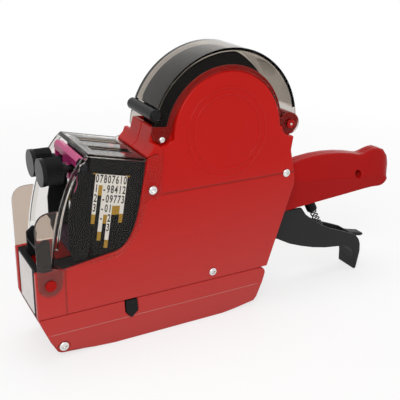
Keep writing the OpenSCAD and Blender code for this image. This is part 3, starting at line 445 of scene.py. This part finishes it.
def mark_edges(mesh, turn):
    """Weights the edges that a mould would round: sharp ones, and shallow creases between large flats."""
    shape = bmesh.new()
    shape.from_mesh(mesh)
    weight = shape.edges.layers.float.new("bevel_weight_edge")
    for edge in shape.edges:
        if len(edge.link_faces) != 2:
            continue
        angle = edge.calc_face_angle()
        areas = [f.calc_area() for f in edge.link_faces]
        if angle > turn or (angle > CREASE_TURN and min(areas) > LARGE_FLAT):
            edge[weight] = 1.0
    shape.to_mesh(mesh)
    shape.free()


def dress(node, finish, slot, width, segments=2, turn=32.0):
    """Stands a rounded, finished copy in for a CAD node, on the node's own body."""
    mesh = merged(node)
    mark_edges(mesh, math.radians(turn))
    mesh.shade_smooth()
    piece = link(node + "_skin", mesh)
    bevel = piece.modifiers.new("edges", "BEVEL")
    bevel.limit_method = "WEIGHT"
    bevel.width = width
    bevel.segments = segments
    bevel.use_clamp_overlap = False
    bevel.loop_slide = False
    normals = piece.modifiers.new("normals", "WEIGHTED_NORMAL")
    normals.weight = 100
    normals.keep_sharp = True
    settle(piece)
    piece.data.materials.clear()
    piece.data.materials.append(look(finish))
    return place(piece, BODY_OF[node], slot, node)


def cut_level(mesh, z):
    """Cuts the faces of a mesh along a level plane."""
    shape = bmesh.new()
    shape.from_mesh(mesh)
    bmesh.ops.bisect_plane(shape, geom=shape.verts[:] + shape.edges[:] + shape.faces[:],
                           plane_co=(0, 0, z), plane_no=(0, 0, 1))
    shape.to_mesh(mesh)
    shape.free()


def place(piece, body, slot, *nodes):
    """Gives a piece its body and hides the CAD nodes that it stands for; the slot is not used."""
    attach(piece, body)
    if nodes:
        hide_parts(*nodes)
    return piece


def tree_of(name, inputs):
    """New geometry tree with a geometry input, named inputs and one output."""
    tree = bpy.data.node_groups.new(name, "GeometryNodeTree")
    tree.interface.new_socket("Geometry", in_out="INPUT", socket_type="NodeSocketGeometry")
    for label, kind in inputs.items():
        tree.interface.new_socket(label, in_out="INPUT", socket_type=kind)
    tree.interface.new_socket("Geometry", in_out="OUTPUT", socket_type="NodeSocketGeometry")
    return tree, add(tree, "NodeGroupInput").outputs


def close_tree(tree, geometry, material):
    """Ends a tree in plain geometry that carries its material."""
    whole = add(tree, "GeometryNodeRealizeInstances", links={"Geometry": geometry})
    dressed = add(tree, "GeometryNodeSetMaterial", links={
        "Geometry": whole.outputs["Geometry"], "Material": material})
    add(tree, "NodeGroupOutput", links={"Geometry": dressed.outputs["Geometry"]})


def grow(piece, tree, values):
    """Runs a geometry tree on a piece and keeps its result as a plain mesh."""
    grower = piece.modifiers.new(tree.name, "NODES")
    grower.node_group = tree
    keys = {item.name: item.identifier for item in tree.interface.items_tree if item.in_out == "INPUT"}
    for label, value in values.items():
        grower[keys[label]] = value
    return settle(piece)


def ring_tree():
    """Tree for one raised moulded ring: a flat oval bead swept round a circle."""
    tree, given = tree_of("moulded_ring", {
        "Radius": "NodeSocketFloat", "Width": "NodeSocketFloat", "Height": "NodeSocketFloat",
        "Centre": "NodeSocketVector", "Turn": "NodeSocketVector", "Material": "NodeSocketMaterial"})
    path = add(tree, "GeometryNodeCurvePrimitiveCircle", {"Resolution": RING_STEPS},
               {"Radius": given["Radius"]})
    bead = add(tree, "GeometryNodeCurvePrimitiveCircle", {"Resolution": BEAD_STEPS, "Radius": 0.5})
    size = add(tree, "ShaderNodeCombineXYZ", {"Z": 1.0}, {"X": given["Width"], "Y": given["Height"]})
    oval = add(tree, "GeometryNodeTransform", links={
        "Geometry": bead.outputs["Curve"], "Scale": size.outputs["Vector"]})
    swept = add(tree, "GeometryNodeCurveToMesh", links={
        "Curve": path.outputs["Curve"], "Profile Curve": oval.outputs["Geometry"]})
    smooth = add(tree, "GeometryNodeSetShadeSmooth", links={"Geometry": swept.outputs["Mesh"]})
    set_down = add(tree, "GeometryNodeTransform", links={
        "Geometry": smooth.outputs["Geometry"], "Translation": given["Centre"], "Rotation": given["Turn"]})
    close_tree(tree, set_down.outputs["Geometry"], given["Material"])
    return tree


def spring_tree():
    """Tree for the return spring: a wire swept along a spiral."""
    tree, given = tree_of("return_spring", {
        "Curls": "NodeSocketFloat", "Coil": "NodeSocketFloat", "Wire": "NodeSocketFloat",
        "Length": "NodeSocketFloat", "Foot": "NodeSocketVector", "Turn": "NodeSocketVector",
        "Material": "NodeSocketMaterial"})
    spiral = add(tree, "GeometryNodeCurveSpiral", {"Resolution": CURL_STEPS}, {
        "Rotations": given["Curls"], "Start Radius": given["Coil"], "End Radius": given["Coil"],
        "Height": given["Length"]})
    half = add(tree, "ShaderNodeMath", {1: 0.5}, {0: given["Wire"]}, operation="MULTIPLY")
    wire = add(tree, "GeometryNodeCurvePrimitiveCircle", {"Resolution": WIRE_STEPS},
               {"Radius": half.outputs["Value"]})
    swept = add(tree, "GeometryNodeCurveToMesh", {"Fill Caps": True}, {
        "Curve": spiral.outputs["Curve"], "Profile Curve": wire.outputs["Curve"]})
    smooth = add(tree, "GeometryNodeSetShadeSmooth", links={"Geometry": swept.outputs["Mesh"]})
    set_down = add(tree, "GeometryNodeTransform", links={
        "Geometry": smooth.outputs["Geometry"], "Translation": given["Foot"], "Rotation": given["Turn"]})
    close_tree(tree, set_down.outputs["Geometry"], given["Material"])
    return tree


def screw_tree():
    """Tree that sets a pan head on every point, turned as the point's turn attribute says."""
    tree, given = tree_of("pan_heads", {
        "Head": "NodeSocketObject", "Scale": "NodeSocketFloat", "Material": "NodeSocketMaterial"})
    head = add(tree, "GeometryNodeObjectInfo", links={"Object": given["Head"]})
    turn = add(tree, "GeometryNodeInputNamedAttribute", {"Name": "turn"}, data_type="FLOAT_VECTOR")
    facing = add(tree, "FunctionNodeEulerToRotation", links={"Euler": turn.outputs["Attribute"]})
    size = add(tree, "ShaderNodeCombineXYZ", links={k: given["Scale"] for k in ("X", "Y", "Z")})
    heads = add(tree, "GeometryNodeInstanceOnPoints", links={
        "Points": given["Geometry"], "Instance": head.outputs["Geometry"],
        "Rotation": facing.outputs["Rotation"], "Scale": size.outputs["Vector"]})
    close_tree(tree, heads.outputs["Instances"], given["Material"])
    return tree


def pan_head(radius):
    """Domed screw head with a cross recess, its rim on the XY plane and its face up."""
    height = PAN_HEIGHT * radius
    shape = bmesh.new()
    rows = [[shape.verts.new((radius * r * math.cos(2 * math.pi * i / PAN_SIDES),
                              radius * r * math.sin(2 * math.pi * i / PAN_SIDES), height * z))
             for i in range(PAN_SIDES)] for r, z in PAN_PROFILE]
    for low, high in zip(rows, rows[1:]):
        for i in range(PAN_SIDES):
            j = (i + 1) % PAN_SIDES
            shape.faces.new((low[i], low[j], high[j], high[i]))
    shape.faces.new(rows[-1])
    shape.faces.new(list(reversed(rows[0])))
    mesh = bpy.data.meshes.new("pan_head")
    shape.to_mesh(mesh)
    shape.free()
    head = link("pan_head", mesh)
    cross = bmesh.new()
    for size in ((CROSS_ARM, CROSS_BLADE), (CROSS_BLADE, CROSS_ARM)):
        for v in bmesh.ops.create_cube(cross, size=1.0)["verts"]:
            taper = 1.0 if v.co.z > 0 else CROSS_TAPER
            v.co = Vector((v.co.x * size[0] * radius * taper, v.co.y * size[1] * radius * taper,
                           (v.co.z * CROSS_DEPTH + 1.0) * height))
    cutter_mesh = bpy.data.meshes.new("cross_recess")
    cross.to_mesh(cutter_mesh)
    cross.free()
    cutter = link("cross_recess", cutter_mesh)
    cut = head.modifiers.new("recess", "BOOLEAN")
    cut.object = cutter
    cut.use_self = True
    settle(head)
    bpy.data.objects.remove(cutter)
    head.data.shade_smooth()
    head.data.set_sharp_from_angle(angle=PAN_SHARP)
    return head


def screw_row(name, body, node, scale, spots):
    """Pan heads at (x, y, z, spin) spots that face away from the middle plane."""
    mesh = bpy.data.meshes.new(name)
    mesh.from_pydata([point(*s[:3]) for s in spots], [], [])
    turn = mesh.attributes.new("turn", "FLOAT_VECTOR", "POINT")
    for i, (_, y, _, spin) in enumerate(spots):
        side = 1 if y < 0 else -1
        turn.data[i].vector = (side * math.pi / 2, -side * math.radians(spin), 0.0)
    head = bpy.data.objects.get("pan_head") or pan_head(sizes().screw_head)
    tree = bpy.data.node_groups.get("pan_heads") or screw_tree()
    piece = grow(link(name, mesh), tree, {
        "Head": head, "Scale": scale, "Material": look("nickel_plated_steel")})
    return place(piece, body, "steel", *([node] if node else []))


def slab(name, outline, y0, y1):
    """Plate between two places on Y, from its side view in millimetres."""
    shape = bmesh.new()
    near = [shape.verts.new(point(x, y0, z)) for x, z in outline]
    far = [shape.verts.new(point(x, y1, z)) for x, z in outline]
    shape.faces.new(near)
    shape.faces.new(list(reversed(far)))
    n = len(outline)
    for i in range(n):
        j = (i + 1) % n
        shape.faces.new((near[i], far[i], far[j], near[j]))
    bmesh.ops.recalc_face_normals(shape, faces=shape.faces)
    mesh = bpy.data.meshes.new(name)
    shape.to_mesh(mesh)
    shape.free()
    return mesh


def joined(name, meshes):
    """One piece from several meshes."""
    shape = bmesh.new()
    for mesh in meshes:
        shape.from_mesh(mesh)
    whole = bpy.data.meshes.new(name)
    shape.to_mesh(whole)
    shape.free()
    return link(name, whole)


def numeral_mesh(text, height, right, up, at):
    """Flat numerals in the plane of two directions, centred on a point."""
    curve = bpy.data.curves.new("numerals", "FONT")
    curve.body = text
    curve.size = height / CAP_SHARE
    curve.offset = STROKE_GAIN * height
    curve.align_x = "CENTER"
    curve.align_y = "CENTER"
    curve.resolution_u = 3
    curve.extrude = INK_T * MM
    holder = link("numerals", curve)
    seen = bpy.context.evaluated_depsgraph_get()
    mesh = bpy.data.meshes.new_from_object(holder.evaluated_get(seen))
    bpy.data.objects.remove(holder)
    out = right.cross(up)
    right = NARROWING * right
    mesh.transform(Matrix((
        (right.x, up.x, out.x, at.x), (right.y, up.y, out.y, at.y), (right.z, up.z, out.z, at.z),
        (0, 0, 0, 1))))
    return mesh


def chart(side):
    """Film strips and numerals of one chart, on the side of the print head; side is -1 or 1."""
    pitch = CHART_W / len(CHART_COLUMNS)
    back, face = CHART_Y * side, (CHART_Y + FILM_T) * side
    white, gold, black = [], [], []
    row_pitch = ROW_PITCH * sizes().numeral / MM
    right = Vector((CHART_ALONG.x, 0, CHART_ALONG.y)) * -side
    up = Vector((-CHART_DOWN.x, 0, -CHART_DOWN.y))

    def strip(i, start, length, inset):
        top = Vector(CHART_TOP) + CHART_ALONG * (pitch * i)
        corners = [top + CHART_DOWN * start + CHART_ALONG * inset,
                   top + CHART_DOWN * (start + length) + CHART_ALONG * inset,
                   top + CHART_DOWN * (start + length) + CHART_ALONG * (pitch - inset),
                   top + CHART_DOWN * start + CHART_ALONG * (pitch - inset)]
        return slab("strip", [tuple(c) for c in corners], back, face)

    # A short gold tick on either side of the top row
    for i in (-TICK_OUT, len(CHART_COLUMNS) - 1 + TICK_OUT):
        gold.append(strip(i, -TICK_T / 2, TICK_T, STRIP_GAP))
    for i, (length, tail) in enumerate(CHART_COLUMNS):
        white.append(strip(i, 0.0, length, STRIP_GAP))
        gold.append(strip(i, length, tail, GOLD_GAP))
        for row in range(min(len(CHART_ROWS), int(length / row_pitch))):
            spot = (Vector(CHART_TOP) + CHART_ALONG * (pitch * (i + 0.5))
                    + CHART_DOWN * (row_pitch * (row + 0.5)))
            black.append(numeral_mesh(CHART_ROWS[row][i], sizes().numeral, right, up,
                                      point(spot.x, face + INK_T * side, spot.y)))
    name = "left" if side < 0 else "right"
    for label, meshes in (("white", white), ("gold", gold), ("black", black)):
        piece = joined(f"{name}_chart_{label}", meshes)
        piece.data.materials.append(look("printed_film_" + label))
        nodes = ["column_charts"] if side < 0 and label == "white" else []
        place(piece, "print_head", "printed_film", *nodes)


class LABELER_OT_shells(bpy.types.Operator):
    """Red body mouldings with their plain moulded rings"""
    bl_idname = "labeler.shells"
    bl_label = "Body mouldings"

    def execute(self, context):
        edge = sizes().shell_round
        for node in ("left_side_cover", "right_side_cover", "bottom_cover"):
            dress(node, "gloss_abs_shell", "red_shell", edge, segments=3)
        for node in ("cover_pivots", "guard_shaft"):
            dress(node, "polished_abs_grip", "red_shell", sizes().small_round)
        tree = ring_tree()
        centre_y = BODY_HALF_W - (RING_AT[1] - CREASE_Z) * FACE_LEAN
        lean = math.atan(FACE_LEAN)
        for side, name in ((-1, "left"), (1, "right")):
            for label, radius in (("outer", sizes().ring_outer), ("inner", sizes().ring_inner)):
                piece = grow(link(f"{name}_{label}_ring", bpy.data.meshes.new("ring")), tree, {
                    "Radius": radius, "Width": sizes().ring_width, "Height": 2 * sizes().ring_height,
                    "Centre": point(RING_AT[0], side * centre_y, RING_AT[1]),
                    "Turn": Vector((math.pi / 2 + side * lean, 0, 0)),
                    "Material": look("gloss_abs_shell")})
                place(piece, "frame", "red_shell")
        return {"FINISHED"}


class LABELER_OT_grip(bpy.types.Operator):
    """Handle halves"""
    bl_idname = "labeler.grip"
    bl_label = "Handle"

    def execute(self, context):
        for node in ("handle_left", "handle_right"):
            dress(node, "polished_abs_grip", "red_handle", sizes().small_round, turn=40.0)
        return {"FINISHED"}


class LABELER_OT_clear_covers(bpy.types.Operator):
    """Smoked lid, hood and front wings"""
    bl_idname = "labeler.clear_covers"
    bl_label = "Smoked covers"

    def execute(self, context):
        edge = sizes().clear_round
        dress("label_cover", "smoked_polycarbonate_lid", "smoked_clear", edge)
        dress("head_cover", "smoked_polycarbonate_hood", "smoked_clear", edge)
        for node in ("left_guard", "right_guard"):
            dress(node, "smoked_polycarbonate_wing", "smoked_clear", edge)
        return {"FINISHED"}


class LABELER_OT_print_head(bpy.types.Operator):
    """Print head, its type bands and its charts"""
    bl_idname = "labeler.print_head"
    bl_label = "Print head"

    def execute(self, context):
        dress("print_head", "matt_abs_black", "black_plastic", sizes().small_round)
        dress("type_bands", "type_rubber_white", "white_band", FINE_ROUND)
        dress("band_rollers", "matt_abs_black", "black_plastic", FINE_ROUND)
        chart(-1)
        chart(1)
        return {"FINISHED"}


class LABELER_OT_knobs(bpy.types.Operator):
    """Selector knobs, shafts and pointers"""
    bl_idname = "labeler.knobs"
    bl_label = "Selector knobs"

    def execute(self, context):
        for side in ("left", "right"):
            dress(side + "_knob", "gloss_abs_black", "black_gloss", KNOB_RIB_ROUND)
            dress(side + "_selector_shaft", "blued_sheet_steel", "steel", FINE_ROUND)
            dress(side + "_pointer", "gloss_abs_shell", "red_shell", POINTER_ROUND)
        return {"FINISHED"}


class LABELER_OT_ink(bpy.types.Operator):
    """Ink carrier and its roller"""
    bl_idname = "labeler.ink"
    bl_label = "Ink carrier"

    def execute(self, context):
        arm = dress("ink_arm", "dyed_acetal_magenta", "magenta_plastic", sizes().small_round).data
        arm.materials.append(look("matt_abs_black"))
        # The lower legs and outer faces of the magenta carrier take the black material: painted shade,
        # where they sit dark inside the hood
        cut_level(arm, INK_CARRIER_Z * MM)
        for face in arm.polygons:
            _, y, z = face.center
            face.material_index = int(z < INK_CARRIER_Z * MM or abs(y) > INK_PLATE_Y * MM)
        dress("ink_roller", "inked_foam", "ink_foam", sizes().small_round)
        return {"FINISHED"}


class LABELER_OT_trigger(bpy.types.Operator):
    """Trigger, its return spring and the spring's sleeve"""
    bl_idname = "labeler.trigger"
    bl_label = "Trigger"

    def execute(self, context):
        dress("trigger", "filled_nylon_charcoal", "black_plastic", TRIGGER_ROUND)
        dress("spring_cup", "matt_abs_black", "black_plastic", sizes().small_round)
        wire = sizes().spring_wire
        low = point(SPRING_LOW[0], 0, SPRING_LOW[1])
        high = point(SPRING_HIGH[0], 0, SPRING_HIGH[1])
        along = (high - low).normalized()
        turn = Vector((0, 0, 1)).rotation_difference(along).to_euler()
        spring = grow(link("return_spring", bpy.data.meshes.new("return_spring")), spring_tree(), {
            "Curls": float(sizes().spring_curls), "Coil": sizes().spring_coil, "Wire": wire,
            "Length": (high - low).length - 2 * wire, "Foot": low + along * wire,
            "Turn": Vector(turn), "Material": look("oiled_spring_wire")})
        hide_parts("trigger_spring")
        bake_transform(spring)
        return {"FINISHED"}


class LABELER_OT_screws(bpy.types.Operator):
    """Cross-head screws and the tie pin's heads"""
    bl_idname = "labeler.screws"
    bl_label = "Screws"

    def execute(self, context):
        for row in SCREW_ROWS:
            screw_row(*row)
        bpy.data.objects.remove(bpy.data.objects["pan_head"])
        return {"FINISHED"}


class LABELER_OT_works(bpy.types.Operator):
    """Inner frame, rollers, axles, latches and the label path"""
    bl_idname = "labeler.works"
    bl_label = "Works"

    def execute(self, context):
        small = sizes().small_round
        for node in ("left_frame_plate", "right_frame_plate", "frame_spacers", "chamber_floor",
                     "front_plate"):
            dress(node, "matt_abs_black", "black_plastic", small)
        for node in ("thumb_bar", "left_latch", "right_latch"):
            dress(node, "gloss_abs_black", "black_gloss", small)
        for node in ("label_hub", "feed_wheel"):
            dress(node, "matt_abs_black", "black_plastic", small)
        dress("pinch_roller", "moulded_rubber", "rubber", small)
        dress("front_label", "coated_paper_label", "white_label", LABEL_ROUND)
        for node in ("ink_arm_pins", "ink_roller_axle", "platen", "peel_plate"):
            dress(node, "blued_sheet_steel", "steel", PIN_ROUND)
        for node in ("label_axle", "trigger_shaft", "drive_pin", "guide_rods", "feed_axle",
                     "bottom_hinge_pin", "pinch_axle"):
            dress(node, "nickel_plated_steel", "steel", PIN_ROUND)
        return {"FINISHED"}


def shows_background(tree):
    """One for a ray that shows the background: to the camera, in gloss or through a clear cover."""
    rays = add(tree, "ShaderNodeLightPath").outputs
    seen = rays["Is Camera Ray"]
    for name in ("Is Glossy Ray", "Is Transmission Ray"):
        seen = add(tree, "ShaderNodeMath", links={0: seen, 1: rays[name]}, operation="MAXIMUM").outputs[0]
    return seen


class LABELER_OT_stage(bpy.types.Operator):
    """Pale floor, soft light and the camera"""
    bl_idname = "labeler.stage"
    bl_label = "Stage"

    def execute(self, context):
        scene = context.scene
        scene.view_settings.view_transform = "Standard"
        floor_mesh = bpy.data.meshes.new("floor")
        corners = [(x * FLOOR_REACH, y * FLOOR_REACH, 0) for x, y in ((-1, -1), (1, -1), (1, 1), (-1, 1))]
        floor_mesh.from_pydata(corners, [], [(0, 1, 2, 3)])
        floor = link("floor", floor_mesh)
        floor.location.z = -FLOOR_DROP
        material, tree = new_tree("painted_floor")
        where = add(tree, "ShaderNodeTexCoord").outputs["Object"]
        away = add(tree, "ShaderNodeVectorMath", links={0: where}, operation="LENGTH").outputs["Value"]
        # Less glow near the object, so that the floor keeps its shadow
        fade = add(tree, "ShaderNodeMapRange", {
            "From Min": GLOW_NEAR, "From Max": GLOW_FAR, "To Min": GLOW_LEAST, "To Max": 1.0},
            {"Value": away})
        share = add(tree, "ShaderNodeMath", links={
            0: shows_background(tree), 1: fade.outputs["Result"]}, operation="MULTIPLY")
        paint = add(tree, "ShaderNodeBsdfDiffuse", {"Color": (0.9, 0.9, 0.9, 1)})
        glow = add(tree, "ShaderNodeEmission", {"Color": (1, 1, 1, 1), "Strength": 1.0})
        mix = add(tree, "ShaderNodeMixShader", links={
            0: share.outputs[0], 1: paint.outputs["BSDF"], 2: glow.outputs["Emission"]})
        add(tree, "ShaderNodeOutputMaterial", links={"Surface": mix.outputs["Shader"]})
        floor_mesh.materials.append(material)

        world = bpy.data.worlds.new("studio")
        world.use_nodes = True
        scene.world = world
        tree = world.node_tree
        tree.nodes.clear()
        soft = add(tree, "ShaderNodeBackground", {"Color": (1, 1, 1, 1), "Strength": ROOM_LIGHT})
        white = add(tree, "ShaderNodeBackground", {"Color": (1, 1, 1, 1), "Strength": 1.0})
        mix = add(tree, "ShaderNodeMixShader", links={
            0: shows_background(tree), 1: soft.outputs["Background"], 2: white.outputs["Background"]})
        add(tree, "ShaderNodeOutputWorld", links={"Surface": mix.outputs["Shader"]})

        for name, at, size, power in LAMPS:
            lamp = bpy.data.lights.new(name, "AREA")
            lamp.size = size
            lamp.energy = power
            holder = bpy.data.objects.new(name, lamp)
            scene.collection.objects.link(holder)
            holder.location = at
            aim = LAMP_AIM - Vector(at)
            holder.rotation_euler = aim.to_track_quat("-Z", "Y").to_euler()
            holder.visible_camera = False
            holder.visible_glossy = name == "key"

        lens = bpy.data.cameras.new("camera")
        lens.sensor_width = SENSOR_W
        lens.sensor_fit = "HORIZONTAL"
        lens.lens = FOCAL_LENGTH
        lens.clip_start = 0.01
        camera = bpy.data.objects.new("camera", lens)
        scene.collection.objects.link(camera)
        camera.location = point(*CAMERA_AT)
        aim = point(*CAMERA_AIM) - camera.location
        roll = Euler((0, 0, math.radians(CAMERA_ROLL))).to_matrix()
        camera.rotation_euler = (aim.to_track_quat("-Z", "Y").to_matrix() @ roll).to_euler()
        scene.camera = camera
        return {"FINISHED"}


class LABELER_PT_build(bpy.types.Panel):
    """Sizes, colours and building steps of the labeler"""
    bl_idname = "LABELER_PT_build"
    bl_label = "Price labeler"
    bl_space_type = "VIEW_3D"
    bl_region_type = "UI"
    bl_category = "Labeler"

    def draw(self, context):
        for group in (context.scene.labeler_sizes, context.scene.labeler_colours):
            for name in group.__annotations__:
                self.layout.prop(group, name)
        for operator in OPERATORS:
            self.layout.operator(operator.bl_idname)


OPERATORS = (
    LABELER_OT_stage, LABELER_OT_shells, LABELER_OT_grip, LABELER_OT_clear_covers, LABELER_OT_print_head,
    LABELER_OT_knobs, LABELER_OT_ink, LABELER_OT_trigger, LABELER_OT_screws, LABELER_OT_works)
CLASSES = (LabelerSizes, LabelerColours, *OPERATORS, LABELER_PT_build)


def register():
    for kind in CLASSES:
        bpy.utils.register_class(kind)
    bpy.types.Scene.labeler_sizes = PointerProperty(type=LabelerSizes)
    bpy.types.Scene.labeler_colours = PointerProperty(type=LabelerColours)


def unregister():
    del bpy.types.Scene.labeler_colours
    del bpy.types.Scene.labeler_sizes
    for kind in reversed(CLASSES):
        bpy.utils.unregister_class(kind)


def main():
    register()
    bpy.ops.labeler.stage()
    bpy.ops.labeler.shells()
    bpy.ops.labeler.grip()
    bpy.ops.labeler.clear_covers()
    bpy.ops.labeler.print_head()
    bpy.ops.labeler.knobs()
    bpy.ops.labeler.ink()
    bpy.ops.labeler.trigger()
    bpy.ops.labeler.screws()
    bpy.ops.labeler.works()


if __name__ == "__main__":
    main()
